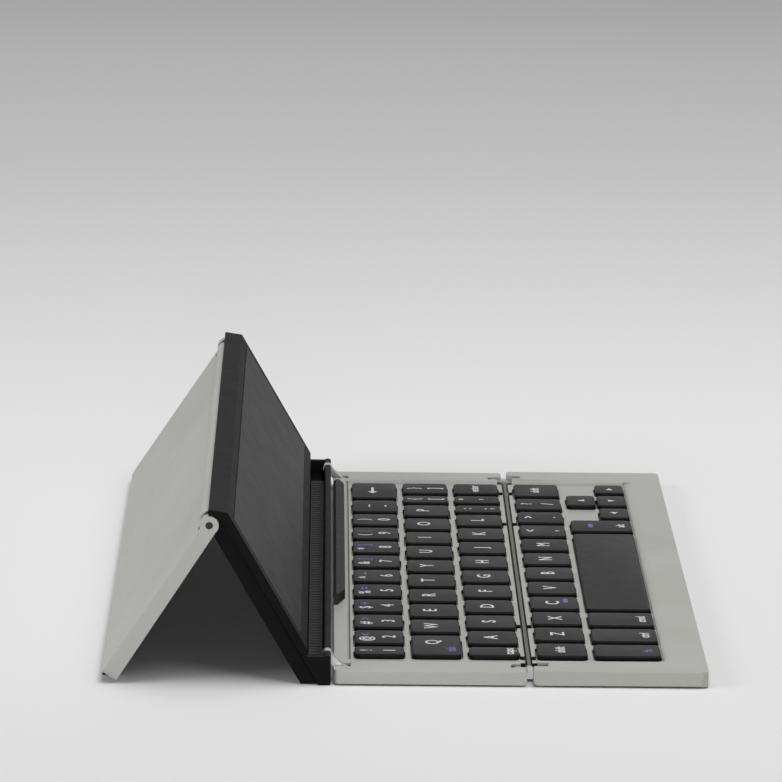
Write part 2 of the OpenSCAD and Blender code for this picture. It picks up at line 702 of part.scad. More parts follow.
// A strip in the plane of the rest, from u0 to u1 along it and v0 to v1 out of it
module rest_box(u0, u1, v0, v1) {
    polygon([rest_at(u0, v0), rest_at(u1, v0), rest_at(u1, v1), rest_at(u0, v1)]);
}
liner_u = [4, rest_len - 6];
liner_x = roll_x - 1.5;
toe_x = roll_x - 1.5;
toe_v = 1.7;
toe_t = 1.2;
module rest_shell() {
    color(black) difference() {
        union() {
            along_x(-half_w, half_w) rest_side();
            both_ends() along_x(lug_x - lug_w, lug_x)
                disc_yz(leg_axis - [lug_shift, 0], lug_r);
            // walls that close the slot at both ends
            both_ends() along_x(half_w - slot_end, half_w)
                translate([slot_front - 0.5, 1])
                    square([slot_w + 1, lip_top - slot_fill - 1]);
        }
        rest_pocket();
        // room for the leg's rolled edge, its knuckles, its sides, its liner and its toe
        along_x(-lug_x + lug_w, lug_x - lug_w) disc_yz(leg_axis, roll_r + link_clear);
        both_ends() along_x(lug_x, half_w + 1) disc_yz(leg_axis, roll_r + link_clear);
        both_ends() along_x(ear_x - link_clear + fit, half_w + 1)
            rest_box(-2 * rest_t, rest_len, -rest_t, rest_axis_in + side_deep + link_clear);
        along_x(-liner_x - link_clear, liner_x + link_clear)
            rest_box(liner_u[0], liner_u[1], -rest_t, liner_t + fit);
        along_x(-toe_x - link_clear, toe_x + link_clear)
            rest_box(-2 * rest_t, rest_len - leg_end + toe_t + link_clear, -rest_t, toe_v + link_clear);
        link_slots(lip_front - 1, slot_front + 0.9, 3.2);
        pin_bores(rest_pivot, pin_r + pin_clear);
        both_ends() along_x(half_w - pin_len - 0.6, half_w)
            disc_yz(leg_axis, leg_pin_d / 2 + pin_clear);
    }
}
module rest_panel() {
    g = fit;
    color("#222224") along_x(-panel_x + g, panel_x - g)
        polygon([rest_at(panel_u[0] + g, rest_t - panel_t),
            rest_at(panel_u[1] - g, rest_t - panel_t), rest_at(panel_u[1] - g, rest_t),
            rest_at(panel_u[0] + g, rest_t)]);
}
magnet = [18, 6, 2];
module rest_magnets() {
    color("#9a9a9c") both_ends() translate([pocket_half - 6 - magnet[0], 0, 0])
        along_x(0, magnet[0]) polygon([for (p = [[0, 0], [magnet[1], 0],
            [magnet[1], magnet[2]], [0, magnet[2]]])
            rest_at(panel_u[1] - 6 - magnet[1] + p[0], rest_skin + p[1])]);
}
pad_t = 0.6;
module slot_pad() {
    color(rubber) block(-half_w + 12.5, half_w - 12.5, slot_front + 0.3, slot_back - 0.3,
        slot_floor, slot_floor + pad_t);
}

// The leg, seen from its end: a shallow tray that takes the closed rest inside its sides
module leg_box(a0, a1, n0, n1) {
    polygon([leg_at(a0, n0), leg_at(a1, n0), leg_at(a1, n1), leg_at(a0, n1)]);
}
// Outline that rounds the leg's lower corners, drawn flat and then laid in its plane
module leg_outline() {
    r = leg_corner;
    translate([0, leg_axis[0], leg_axis[1]]) rotate([-leg_tilt, 0, 0])
        translate([0, 0, -2 * side_deep]) linear_extrude(4 * side_deep) {
            translate([-half_w, -roll_r]) square([2 * half_w, leg_end - r + roll_r]);
            translate([-half_w + r, -roll_r]) square([2 * (half_w - r), leg_end + roll_r]);
            for (x = [-1, 1]) translate([x * (half_w - r), leg_end - r]) circle(r);
        }
}
// depths of the leg's sides at its upper edge and at its foot
side_n = [-roll_r + 0.05, -side_deep];
toe_n = rest_axis_in - toe_v;
pin_len = 11.6;
module leg_shell() {
    color(casing) difference() {
        union() {
            intersection() {
                union() {
                    along_x(-half_w, half_w) leg_box(0, leg_end, leg_inner, leg_outer);
                    both_ends() along_x(half_w - leg_side_t, half_w)
                        polygon([leg_at(0, side_n[0]), leg_at(leg_end, side_n[1]),
                            leg_at(leg_end, leg_outer), leg_at(0, leg_outer)]);
                    along_x(-toe_x, toe_x) leg_box(leg_end - toe_t, leg_end, toe_n, leg_outer);
                }
                leg_outline();
            }
            along_x(-roll_x, roll_x) disc_yz(leg_axis, roll_r);
            both_ends() along_x(half_w - leg_side_t, half_w) disc_yz(leg_axis, roll_r);
        }
        // clear of the lug and of the knuckle
        both_ends() along_x(roll_x, lug_x + link_clear)
            disc_yz(leg_axis, lug_r + lug_shift / 2 + link_clear);
        both_ends() along_x(lug_x, half_w - leg_side_t) disc_yz(leg_axis, roll_r + fit);
        both_ends() along_x(half_w - pin_len - 1, half_w + 1)
            disc_yz(leg_axis, leg_pin_d / 2 + 0.02);
    }
}
module leg_liner() {
    color(black) along_x(-liner_x, liner_x)
        leg_box(rest_len - liner_u[1] + link_clear, rest_len - liner_u[0] - link_clear,
            leg_inner - fit - liner_t, leg_inner - fit);
}
module leg_ears() {
    color(silver) both_ends() along_x(ear_x - ear_w, ear_x) difference() {
        disc_yz(leg_axis, roll_r);
        disc_yz(leg_axis, leg_pin_d / 2 + 0.02);
    }
}
module leg_pins() {
    color(black) both_ends() along_x(half_w - pin_len, half_w - 0.4)
        disc_yz(leg_axis, leg_pin_d / 2);
}
foot_edge = leg_at(leg_end, leg_outer)[0];
module leg_foot() {
    top = leg_end + 0.02;
    a = leg_at(top, toe_n + 0.1);
    b = leg_at(top + a[1] / sin(leg_tilt), toe_n + 0.1);
    color(rubber) along_x(-toe_x + 0.3, toe_x - 0.3)
        polygon([a, [b[0], 0], [foot_edge - 0.05, 0], leg_at(top, leg_outer - 0.1)]);
}

mid_y = (front_edge + foot_edge) / 2;
module placed() {
    translate([0, -mid_y, 0]) children();
}

placed() rear_deck();
placed() rear_cover();
placed() rear_key_plate();
placed() membrane(rear_room[0], rear_room[1]);  // rear_membrane
placed() scissors(rear_keys);  // rear_scissors
placed() domes(rear_keys);  // rear_domes
placed() rear_feet();
placed() screws(rear_screw_x, rear_screw_y);  // rear_screws
placed() stop_bar();
placed() status_lenses();
placed() spine_bar();
placed() spine_links();
placed() spine_pins();
placed() front_deck();
placed() front_cover();
placed() front_key_plate();
placed() membrane(front_room[0], front_room[1]);  // front_membrane
placed() scissors(front_keys);  // front_scissors
placed() domes(front_keys);  // front_domes
placed() front_feet();
placed() screws(boss_x, front_screw_y);  // front_screws
placed() battery();
placed() main_board();
placed() charge_port();
placed() rest_links();
placed() rest_link_pins();
placed() rest_shell();
placed() rest_panel();
placed() rest_magnets();
placed() slot_pad();
placed() leg_shell();
placed() leg_liner();
placed() leg_ears();
placed() leg_pins();
placed() leg_foot();
placed() key_caps(number_left);  // number_keys_left
placed() key_caps(number_right);  // number_keys_right
placed() key_caps(backspace);  // backspace_key
placed() key_caps(upper_left);  // upper_letters_left
placed() key_caps(upper_right);  // upper_letters_right
placed() key_caps(caps);  // caps_key
placed() key_caps(home_left);  // home_letters_left
placed() key_caps(home_right);  // home_letters_right
placed() key_caps(enter);  // enter_key
placed() key_caps(left_shift);  // left_shift_key
placed() key_caps(lower_left);  // lower_letters_left
placed() key_caps(lower_right);  // lower_letters_right
placed() key_caps(right_shift);  // right_shift_key
placed() key_caps([fn_ctrl_cmd[0]]);  // fn_key
placed() key_caps([fn_ctrl_cmd[1]]);  // ctrl_key
placed() key_caps([fn_ctrl_cmd[2]]);  // command_key
placed() key_caps(space);  // space_key
placed() key_caps(alt);  // alt_key
placed() key_caps(left_arrow);  // left_arrow_key
placed() key_caps(up_arrow);  // up_arrow_key
placed() key_caps(down_arrow);  // down_arrow_key
placed() key_caps(right_arrow);  // right_arrow_key
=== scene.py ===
# Folding keyboard with a tablet rest: materials and fine detail over the CAD frame.
import math
import bpy
import bmesh
from mathutils import Matrix, Vector


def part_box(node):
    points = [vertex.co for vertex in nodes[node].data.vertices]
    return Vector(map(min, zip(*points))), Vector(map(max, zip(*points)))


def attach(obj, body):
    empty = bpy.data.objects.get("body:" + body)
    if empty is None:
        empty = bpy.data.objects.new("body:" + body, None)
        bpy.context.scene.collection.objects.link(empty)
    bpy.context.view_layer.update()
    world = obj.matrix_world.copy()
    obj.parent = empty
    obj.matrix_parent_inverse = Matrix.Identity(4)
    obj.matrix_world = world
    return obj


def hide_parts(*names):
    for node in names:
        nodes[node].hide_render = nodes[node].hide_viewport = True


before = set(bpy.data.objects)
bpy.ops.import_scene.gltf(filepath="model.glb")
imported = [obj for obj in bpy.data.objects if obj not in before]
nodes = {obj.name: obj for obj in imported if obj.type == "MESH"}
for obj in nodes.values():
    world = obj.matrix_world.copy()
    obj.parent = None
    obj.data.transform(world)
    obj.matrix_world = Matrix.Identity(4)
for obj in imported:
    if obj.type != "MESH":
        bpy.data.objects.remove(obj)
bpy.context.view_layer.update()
mm = 0.001

scene = bpy.context.scene
scene.view_settings.view_transform = "Standard"

camera = {
    "place": (-1591.80, 24.600, 400.25),  # mm
    "yaw": -0.766,
    "pitch": 12.138,
    "roll": 0.7315,
    "focal": 249.81,  # mm
    "sensor": 36,  # mm
}


def makeCamera():
    yaw, pitch, roll = (math.radians(camera[k]) for k in ("yaw", "pitch", "roll"))
    ahead = Vector((math.cos(pitch) * math.cos(yaw), math.cos(pitch) * math.sin(yaw), -math.sin(pitch)))
    right = Vector((math.sin(yaw), -math.cos(yaw), 0))
    up = right.cross(ahead)
    right, up = (right * math.cos(roll) + up * math.sin(roll),
                 up * math.cos(roll) - right * math.sin(roll))
    data = bpy.data.cameras.new("lens")
    data.sensor_fit = "HORIZONTAL"
    data.sensor_width = camera["sensor"]
    data.lens = camera["focal"]
    data.clip_start = 0.05
    data.clip_end = 20
    obj = bpy.data.objects.new("lens", data)
    obj.matrix_world = Matrix((
        (right.x, up.x, -ahead.x, camera["place"][0] * mm),
        (right.y, up.y, -ahead.y, camera["place"][1] * mm),
        (right.z, up.z, -ahead.z, camera["place"][2] * mm),
        (0, 0, 0, 1)))
    scene.collection.objects.link(obj)
    scene.camera = obj


makeCamera()
print("camera set")


def linear(hexCode):
    parts = [int(hexCode[i:i + 2], 16) / 255 for i in (1, 3, 5)]
    return tuple(p / 12.92 if p <= 0.04045 else ((p + 0.055) / 1.055) ** 2.4 for p in parts) + (1.0,)


def addNode(tree, kind, sockets=None, **settings):
    node = tree.nodes.new(kind)
    for name, value in settings.items():
        setattr(node, name, value)
    for key, value in (sockets or {}).items():
        if isinstance(value, bpy.types.NodeSocket):
            tree.links.new(value, node.inputs[key])
        else:
            node.inputs[key].default_value = value
    return node


def newMaterial(name, shader):
    # returns the material, its tree, the object coordinates and the shader node
    material = bpy.data.materials.new(name)
    material.use_nodes = True
    tree = material.node_tree
    tree.nodes.clear()
    coords = addNode(tree, "ShaderNodeTexCoord")
    body = addNode(tree, "ShaderNodeBsdfPrincipled", shader)
    addNode(tree, "ShaderNodeOutputMaterial", {"Surface": body.outputs["BSDF"]})
    return material, tree, coords, body


def grain(tree, coords, grainSize, detail):
    # noise whose features are about grainSize millimetres across
    return addNode(tree, "ShaderNodeTexNoise", {
        "Vector": coords.outputs["Object"], "Scale": 1000 / grainSize, "Detail": detail,
        "Roughness": 0.55}).outputs["Fac"]


def ramp(tree, factor, stops):
    node = addNode(tree, "ShaderNodeValToRGB", {"Fac": factor})
    band = node.color_ramp
    while len(band.elements) < len(stops):
        band.elements.new(0.5)
    for element, (position, colour) in zip(band.elements, stops):
        element.position = position
        element.color = linear(colour) if isinstance(colour, str) else (colour, colour, colour, 1)
    return node.outputs["Color"]


def shadeRamp(tree, factor, hexCode, share, start, end):
    # from a darker share of a colour to the colour itself
    full = linear(hexCode)
    node = addNode(tree, "ShaderNodeValToRGB", {"Fac": factor})
    dark, light = node.color_ramp.elements
    dark.position = start
    light.position = end
    dark.color = tuple(c * share for c in full[:3]) + (1.0,)
    light.color = full
    return node.outputs["Color"]


def mixColour(tree, factor, first, second):
    # 6 and 7 are the colour inputs of this node, 2 is its colour output
    node = addNode(tree, "ShaderNodeMix", {0: factor, 6: first, 7: second}, data_type="RGBA")
    return node.outputs[2]


def drive(tree, body, socket, factor, stops):
    # a ramp over a factor sets one socket of the shader
    tree.links.new(ramp(tree, factor, stops), body.inputs[socket])


def bump(tree, body, height, depth, strength):
    # depth in millimetres
    node = addNode(tree, "ShaderNodeBump", {"Height": height, "Distance": depth * mm, "Strength": strength})
    tree.links.new(node.outputs["Normal"], body.inputs["Normal"])


alloyPaint = {"dark": "#A1A19B", "light": "#A9A9A4", "specular": 0.32, "coat": 0.06, "coatRough": 0.35}
chassisAndShadeRoom = {  # mm; where the decks are painted black below the key floor: the black chassis in the cut-outs, and painted shade in the gaps around the keys
    "halfWidth": 119.5, "top": 3.4, "front": -84.8, "rear": 19.2, "colour": "#0E0E0F",
}


def chassisAndShadeMask(tree, coords):
    # one where the deck is painted black, for the chassis and as painted shade around the keys: below the
    # key floor and away from the outer faces; zero elsewhere
    at = addNode(tree, "ShaderNodeSeparateXYZ", {"Vector": coords.outputs["Object"]})
    wide = addNode(tree, "ShaderNodeMath", {0: at.outputs["X"]}, operation="ABSOLUTE").outputs[0]
    tests = [(wide, "LESS_THAN", chassisAndShadeRoom["halfWidth"]),
             (at.outputs["Z"], "LESS_THAN", chassisAndShadeRoom["top"]),
             (at.outputs["Y"], "GREATER_THAN", chassisAndShadeRoom["front"]),
             (at.outputs["Y"], "LESS_THAN", chassisAndShadeRoom["rear"])]
    inside = None
    for value, operation, limit in tests:
        passed = addNode(tree, "ShaderNodeMath", {0: value, 1: limit * mm}, operation=operation).outputs[0]
        inside = passed if inside is None else addNode(
            tree, "ShaderNodeMath", {0: inside, 1: passed}, operation="MULTIPLY").outputs[0]
    return inside


def makePaintedAlloy(name, withChassisAndShade):
    # aluminium with a satin warm-grey paint: even, with a fine spray texture and faint rub marks
    material, tree, coords, body = newMaterial(name, {
        "Metallic": 0.0, "Specular IOR Level": alloyPaint["specular"],
        "Coat Weight": alloyPaint["coat"], "Coat Roughness": alloyPaint["coatRough"]})
    cloud = grain(tree, coords, 45, 2)
    paintColour = ramp(tree, cloud, [(0.3, alloyPaint["dark"]), (0.7, alloyPaint["light"])])
    if withChassisAndShade:
        # below the key floor the deck is painted black: the black chassis, and painted shade in the gaps
        # around the keys
        mask = chassisAndShadeMask(tree, coords)
        paintColour = mixColour(tree, mask, paintColour, linear(chassisAndShadeRoom["colour"]))
    tree.links.new(paintColour, body.inputs["Base Color"])
    drive(tree, body, "Roughness", grain(tree, coords, 6, 4), [(0.35, 0.41), (0.75, 0.46)])
    # spray texture is really 0.1 mm; drawn at 0.5 mm so that it shows
    bump(tree, body, grain(tree, coords, 0.5, 2), 0.005, 0.3)
    return material


def makeMoulded(name, lowHex, highHex, rough, grit, depth, shine=0.2):
    # moulded plastic, silicone or film: an even colour with a fine grit, size and depth in millimetres
    material, tree, coords, body = newMaterial(name, {
        "Metallic": 0.0, "IOR": 1.53, "Specular IOR Level": shine})
    drive(tree, body, "Base Color", grain(tree, coords, 30, 2), [(0.3, lowHex), (0.7, highHex)])
    drive(tree, body, "Roughness", grain(tree, coords, 8, 3), [(0.3, rough - 0.025), (0.7, rough + 0.025)])
    bump(tree, body, grain(tree, coords, grit, 2), depth, 0.6)
    return material


# the caps' sides are painted black as painted shade; the tops keep the caps' own dark grey
keyColours = {"side": "#0B0B0C", "topDark": "#272729", "topLight": "#2A2A2C"}


def makeKeyPlastic():
    # soft-touch coated ABS caps: dark grey tops, unevenly worn, and sides painted black as painted shade
    material, tree, coords, body = newMaterial("softTouchKeyPlastic", {
        "Metallic": 0.0, "IOR": 1.5, "Specular IOR Level": 0.09})
    # caps turn black where they face sideways: painted shade on the sides
    facing = addNode(tree, "ShaderNodeSeparateXYZ", {"Vector": coords.outputs["Normal"]}).outputs["Z"]
    top = ramp(tree, facing, [(0.80, 0.0), (0.97, 1.0)])
    cloud = grain(tree, coords, 12, 3)
    topColour = ramp(tree, cloud, [(0.3, keyColours["topDark"]), (0.7, keyColours["topLight"])])
    mixed = mixColour(tree, top, linear(keyColours["side"]), topColour)
    tree.links.new(mixed, body.inputs["Base Color"])
    drive(tree, body, "Roughness", grain(tree, coords, 5, 3), [(0.3, 0.5), (0.7, 0.56)])
    # coating orange peel, about 0.35 mm across
    bump(tree, body, grain(tree, coords, 0.35, 2), 0.008, 0.5)
    return material


def makeInk(name, hexCode):
    # pad-printed ink, slightly uneven
    material, tree, coords, body = newMaterial(name, {"Roughness": 0.55, "Metallic": 0.0})
    spots = grain(tree, coords, 0.6, 3)
    tree.links.new(shadeRamp(tree, spots, hexCode, 0.82, 0.3, 0.6), body.inputs["Base Color"])
    return material


def makeSatinSteel(name, hexCode, rough, scales):
    # bare, black or plated metal with a fine grain, drawn out along an axis whose scale is small
    material, tree, coords, body = newMaterial(name, {"Metallic": 1.0})
    stretch = addNode(tree, "ShaderNodeMapping", {"Vector": coords.outputs["Object"], "Scale": scales})
    lines = addNode(tree, "ShaderNodeTexNoise", {
        "Vector": stretch.outputs["Vector"], "Scale": 1200.0, "Detail": 3.0}).outputs["Fac"]
    tree.links.new(shadeRamp(tree, lines, hexCode, 0.86, 0.25, 0.7), body.inputs["Base Color"])
    drive(tree, body, "Roughness", lines, [(0.3, rough), (0.7, rough + 0.14)])
    bump(tree, body, lines, 0.01, 0.3)
    return material


def makeRubber():
    # matt silicone rubber with talc-like grit
    material, tree, coords, body = newMaterial("mattSiliconeRubber", {"Metallic": 0.0, "IOR": 1.43})
    drive(tree, body, "Base Color", grain(tree, coords, 3, 4), [(0.3, "#242425"), (0.7, "#303031")])
    drive(tree, body, "Roughness", grain(tree, coords, 2, 3), [(0.3, 0.75), (0.7, 0.9)])
    bump(tree, body, grain(tree, coords, 0.4, 3), 0.03, 0.6)
    return material


def makeBoard():
    # green solder mask with paler tracks under it
    material, tree, coords, body = newMaterial("solderMaskOnBoard", {"Metallic": 0.0, "Coat Weight": 0.3})
    tracks = addNode(tree, "ShaderNodeTexBrick", {
        "Vector": coords.outputs["Object"], "Color1": linear("#1D5C36"), "Color2": linear("#246A40"),
        "Mortar": linear("#3E8A58"), "Scale": 1.0, "Mortar Size": 0.0001, "Brick Width": 0.004,
        "Row Height": 0.0008}, offset=0.5)
    tree.links.new(tracks.outputs["Color"], body.inputs["Base Color"])
    drive(tree, body, "Roughness", grain(tree, coords, 4, 2), [(0.3, 0.28), (0.7, 0.4)])
    bump(tree, body, tracks.outputs["Fac"], 0.02, 0.6)
    return material


def makeFilm():
    # printed polyester contact film with silver ink tracks, 1.6 mm apart
    material, tree, coords, body = newMaterial("printedContactFilm", {"Metallic": 0.0, "Coat Weight": 0.2})
    waves = addNode(tree, "ShaderNodeTexWave", {
        "Vector": coords.outputs["Object"], "Scale": 196.0, "Distortion": 1.5, "Detail": 1.0},
        wave_type="BANDS", bands_direction="Y").outputs["Fac"]
    drive(tree, body, "Base Color", waves, [(0.78, "#B4BCA4"), (0.9, "#C9C9C9")])
    drive(tree, body, "Roughness", grain(tree, coords, 5, 2), [(0.3, 0.25), (0.7, 0.38)])
    return material


finishes = {
    "casing": makePaintedAlloy("satinPaintOnDecks", True),
    "legPaint": makePaintedAlloy("satinPaintOnLeg", False),
    "keys": makeKeyPlastic(),
    "whiteInk": makeInk("whitePadPrint", "#DADADA"),
    "blueInk": makeInk("bluePadPrint", "#5C5C9A"),
    # name, darkest and lightest colour, roughness, grit size mm, grit depth mm, shine
    "restPlastic": makeMoulded("blackMouldedAbs", "#060607", "#080809", 0.6, 0.5, 0.02, 0.07),
    "panelPlastic": makeMoulded("smoothBlackAbs", "#101011", "#121213", 0.5, 0.8, 0.002, 0.12),
    "barPlastic": makeMoulded("darkGreyAbs", "#1C1C1D", "#212122", 0.58, 0.5, 0.015, 0.12),
    "coverPlastic": makeMoulded("darkCoverAbs", "#3A3A3B", "#424243", 0.5, 0.6, 0.02),
    "spinePlastic": makeMoulded("oliveGreyAbs", "#45463F", "#50514A", 0.4, 0.4, 0.01),
    "whitePlastic": makeMoulded("whiteAcetal", "#D2D2CE", "#DCDCD8", 0.4, 0.7, 0.01),
    "domeSilicone": makeMoulded("milkySilicone", "#D2D2C8", "#DEDED4", 0.55, 0.9, 0.01),
    "lens": makeMoulded("smokedLensAbs", "#030304", "#060607", 0.35, 2.0, 0.002, 0.04),
    "foil": makeMoulded("cellWrapFilm", "#868B8E", "#94999C", 0.3, 3.0, 0.04),
    # name, colour, lowest roughness, scale of the grain along x, y and z
    "steel": makeSatinSteel("brushedStainless", "#B2B2B0", 0.3, (0.08, 1, 1)),
    "blackSteel": makeSatinSteel("blackOxideSteel", "#2A2A2C", 0.3, (0.1, 1, 1)),
    "magnet": makeSatinSteel("nickelPlate", "#B9B6AE", 0.12, (1, 1, 1)),
    "plate": makeSatinSteel("rolledSteelSheet", "#B8B8B8", 0.3, (0.06, 1, 1)),
    "rubber": makeRubber(),
    "board": makeBoard(),
    "film": makeFilm(),
}
print("materials made:", len(finishes))


def paint(obj, finish):
    obj.data.materials.clear()
    obj.data.materials.append(finishes[finish])


softEdges = {
    # node: (body, finish, edge radius mm, shortest edge that is softened mm)
    "rear_deck": ("rear", "casing", 0.3, 3.0),
    "front_deck": ("front", "casing", 0.28, 3.0),
    "rest_shell": ("rest", "restPlastic", 0.4, 2.5),
    "leg_shell": ("leg", "legPaint", 0.2, 2.0),
}
softening = {
    "weld": 0.002,  # mm; points nearer than this become one
    "flatTurn": 0.4,  # degrees; faces that turn less than this become one
    "sharpTurn": 28,  # degrees; edges that turn more than this are softened
    "segments": 3,
    "hiddenLevel": 2.5,  # mm; the underside of the decks' key floors keeps its sharp edges
    "shadeTurn": 32,  # degrees; edges that still turn more than this are shaded sharp
}
# mm and degrees; only edges within the band below the top of a key are softened
keyEdge = {"radius": 0.112, "band": 0.4, "shadeTurn": 40}


def evaluatedMesh(obj):
    return bpy.data.meshes.new_from_object(obj.evaluated_get(bpy.context.evaluated_depsgraph_get()))


def applyModifiers(obj):
    obj.data = evaluatedMesh(obj)
    obj.modifiers.clear()


def markedCopy(node, name, chosen):
    # a copy of a node, its triangles joined into faces, with a bevel on the sharp edges that are chosen
    mesh = nodes[node].data.copy()
    mesh.name = name
    shape = bmesh.new()
    shape.from_mesh(mesh)
    bmesh.ops.remove_doubles(shape, verts=shape.verts, dist=softening["weld"] * mm)
    bmesh.ops.dissolve_limit(shape, angle_limit=math.radians(softening["flatTurn"]),
                             verts=shape.verts, edges=shape.edges)
    layers = shape.edges.layers.float
    weights = layers.get("bevel_weight_edge") or layers.new("bevel_weight_edge")
    sharpest = math.radians(softening["sharpTurn"])
    for edge in shape.edges:
        if len(edge.link_faces) == 2 and abs(edge.calc_face_angle(0)) > sharpest and chosen(edge):
            edge[weights] = 1.0
    shape.to_mesh(mesh)
    shape.free()
    obj = bpy.data.objects.new(name, mesh)
    scene.collection.objects.link(obj)
    bevel = obj.modifiers.new("soft edge", "BEVEL")
    bevel.limit_method = "WEIGHT"
    bevel.segments = softening["segments"]
    return obj, bevel


def softenNode(node, body, finish, radius, shortest):
    def isShown(edge):
        hidden = all(abs(v.co.z / mm - softening["hiddenLevel"]) < 0.05 for v in edge.verts)
        return not hidden and edge.calc_length() > shortest * mm

    obj, bevel = markedCopy(node, node + "_soft", isShown)
    bevel.width = radius * mm
    bevel.use_clamp_overlap = False
    bevel.miter_outer = "MITER_ARC"
    applyModifiers(obj)
    obj.data.shade_smooth()
    obj.data.set_sharp_from_angle(angle=math.radians(softening["shadeTurn"]))
    flat = obj.modifiers.new("flat faces stay flat", "WEIGHTED_NORMAL")
    flat.keep_sharp = True
    applyModifiers(obj)
    paint(obj, finish)
    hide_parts(node)
    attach(obj, body)


for node, (body, finish, radius, shortest) in softEdges.items():
    softenNode(node, body, finish, radius, shortest)
print("soft edges on", len(softEdges), "pieces")

keyField = {  # mm; the same layout as the frame's keys
    "pitch": 17.95, "cells": 12.078, "gap": 3.6, "shift": -1.2, "top": 4.9,
    "rowY": {"number": 42.15, "upper": 25.9, "home": 9.65, "lower": -9.65, "bottom": -28.25},
    "foldY": -35.110,  # the fold line in the frame
}
pitch = keyField["pitch"]
fieldWidth = keyField["cells"] * pitch
rowCells = {  # widths in pitches; the last cell of a row fills what is left
    "number": [0.696] + [1] * 9 + [1.042],
    "upper": [1.41] + [1] * 9 + [0.719],
    "home": [0.719] + [1] * 9 + [0.702, 0.719],
    "lower": [0.975] + [1] * 10,
    "bottom": [0.93, 1, 1.036, 5.421, 1, 0.914, 0.958],
}
legend = {  # mm; the sizes of the text, then how the ink lies on a cap
    "letter": 5.7, "digit": 5.4, "small": 4.9, "word": 3.8,
    "lift": 0.012, "bold": 0.085, "halfThick": 0.01, "margin": 1.6,
}
legendAt = {  # mm from the middle of a key, towards the rear or sideways
    "letter": 0.3, "upperLetter": 0.9, "low": -3.0, "high": 3.6, "aside": 2.4, "bottomWord": -6.0,
}


def keyMiddle(row, index):
    # the middle of a key in the frame and its width, mm
    cells = [share * pitch for share in rowCells[row]]
    cells.append(fieldWidth - sum(cells))
    x = keyField["shift"] - fieldWidth / 2 + sum(cells[:index]) + cells[index] / 2
    return x, keyField["rowY"][row] + keyField["foldY"], cells[index] - keyField["gap"]


def singles(node, row, first, letters, place="letter"):
    return [(node, row, first + i, [(c, "whiteInk", "letter", 0, legendAt[place])])
            for i, c in enumerate(letters)]


def pairs(node, row, first, lows, highs, blue=""):
    out = []
    aside = legendAt["aside"] if blue else 0
    for i, (low, high) in enumerate(zip(lows, highs)):
        words = [(low, "whiteInk", "digit", 0, legendAt["low"]),
                 (high, "whiteInk", "small", -aside, legendAt["high"])]
        if blue:
            words.append((blue[i], "blueInk", "small", aside, legendAt["high"]))
        out.append((node, row, first + i, words))
    return out


def bottomWord(node, index, word, ink="whiteInk"):
    return [(node, "bottom", index, [(word, ink, "word", 0, legendAt["bottomWord"])])]


# (node, row, key, [(text, ink, size, sideways, towards the rear)]), places in mm from the key's middle
marks = [("number_keys_left", "number", 0, [
    ("1", "whiteInk", "small", 0, legendAt["low"]), ("!", "whiteInk", "small", 0, legendAt["high"])])]
marks += pairs("number_keys_left", "number", 1, "23456", "@#$%^", "<>+=~")
marks += pairs("number_keys_right", "number", 6, "789", "&*(", "[]|")
marks += pairs("number_keys_right", "number", 9, "0-", ")_")
marks += singles("upper_letters_left", "upper", 1, "WERT", "upperLetter")
marks += [("upper_letters_left", "upper", 0, [
    ("Q", "whiteInk", "letter", 3.2, legendAt["upperLetter"]), ("tab", "blueInk", "word", -4.5, -4.2)])]
marks += singles("upper_letters_right", "upper", 5, "YUIOP", "upperLetter")
marks += pairs("upper_letters_right", "upper", 10, "[]", "{}")
marks += [("caps_key", "home", 0, [("caps", "whiteInk", "word", 0, -4.4)])]
marks += singles("home_letters_left", "home", 1, "ASDFG")
marks += singles("home_letters_right", "home", 6, "HJKL")
marks += pairs("home_letters_right", "home", 10, ";'", ":\"")
marks += [("enter_key", "home", 12, [("enter", "whiteInk", "word", 0, legendAt["letter"])])]
marks += [("left_shift_key", "lower", 0, [("shift", "whiteInk", "word", 0, legendAt["letter"])])]
marks += singles("lower_letters_left", "lower", 1, "ZXCVB")
marks += singles("lower_letters_right", "lower", 6, "NM")
marks += pairs("lower_letters_right", "lower", 8, ",./", "<>?")
marks += [("right_shift_key", "lower", 11, [("shift", "whiteInk", "word", 0, legendAt["letter"])])]
marks += bottomWord("fn_key", 0, "fn", "blueInk")
marks += bottomWord("ctrl_key", 1, "ctrl")
marks += bottomWord("command_key", 2, "cmd")
marks += bottomWord("alt_key", 4, "alt")
# outlines of a bar and of arrows, in mm
bar = [(-2.2, -0.7), (2.2, -0.7), (2.2, 0.7), (-2.2, 0.7)]
longArrow = [(-4, 0), (-1.6, 1.6), (-1.6, 0.45), (4, 0.45), (4, -0.45), (-1.6, -0.45), (-1.6, -1.6)]
triangle = [(-1.1, -1.2), (1.1, 0), (-1.1, 1.2)]
# (node, row, key, ink, towards the rear, sideways, outline, turn in degrees)
drawn = [
    ("backspace_key", "number", 11, "whiteInk", 0.5, 0, longArrow, 0),
    ("lower_letters_left", "lower", 3, "blueInk", -3.4, 2.6, bar, 0),
    ("alt_key", "bottom", 4, "blueInk", 3.4, 0, bar, 0),
    ("left_arrow_key", "bottom", 5, "whiteInk", -4.9, 0, triangle, 180),
    ("down_arrow_key", "bottom", 6, "whiteInk", -4.9, 0, triangle, -90),
    ("up_arrow_key", "bottom", 6, "whiteInk", 4.9, 0, triangle, 90),
    ("right_arrow_key", "bottom", 7, "whiteInk", -4.9, 0, triangle, 0),
]
inks = ["whiteInk", "blueInk"]
printLevel = keyField["top"] + legend["lift"]
keyNodes = sorted({m[0] for m in marks} | {d[0] for d in drawn} | {"space_key"})


def textMesh(word, size):
    curve = bpy.data.curves.new("mark", "FONT")
    curve.body = word
    curve.size = size
    curve.align_x = "CENTER"
    curve.align_y = "CENTER"
    curve.extrude = legend["halfThick"]
    curve.offset = legend["bold"]
    curve.resolution_u = 3
    holder = bpy.data.objects.new("mark", curve)
    scene.collection.objects.link(holder)
    mesh = evaluatedMesh(holder)
    bpy.data.objects.remove(holder)
    return mesh


